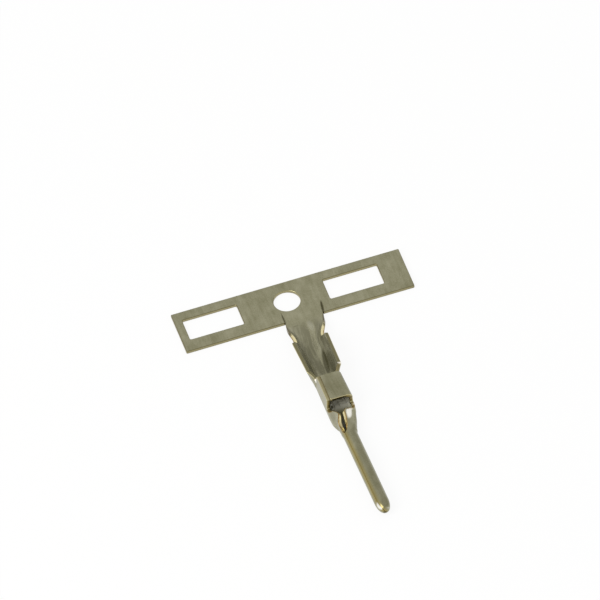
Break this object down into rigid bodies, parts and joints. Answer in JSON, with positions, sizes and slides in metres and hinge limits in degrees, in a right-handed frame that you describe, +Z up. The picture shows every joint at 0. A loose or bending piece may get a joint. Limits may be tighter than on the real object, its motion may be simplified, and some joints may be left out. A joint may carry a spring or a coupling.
{
  "type": "crimp pin contact",
  "caption": "Crimp pin contact with open wire barrel, box body and rolled round pin, stamped and folded from one sheet and still on a piece of its carrier strip.",
  "frame": {"origin": "centre of the strip's pilot hole, on the underside of the strip", "axes": "+X along the contact from the strip to the tip of the pin, +Y along the strip, +Z up from the underside, the way the walls are folded"},
  "size_m": [0.0176, 0.0128, 0.0012],
  "materials": {
    "tinned_sheet": "dull tinned sheet with yellow sheared edges"
  },
  "bodies": {
    "root": {"pin_contact": "tinned_sheet"}
  },
  "joints": []
}
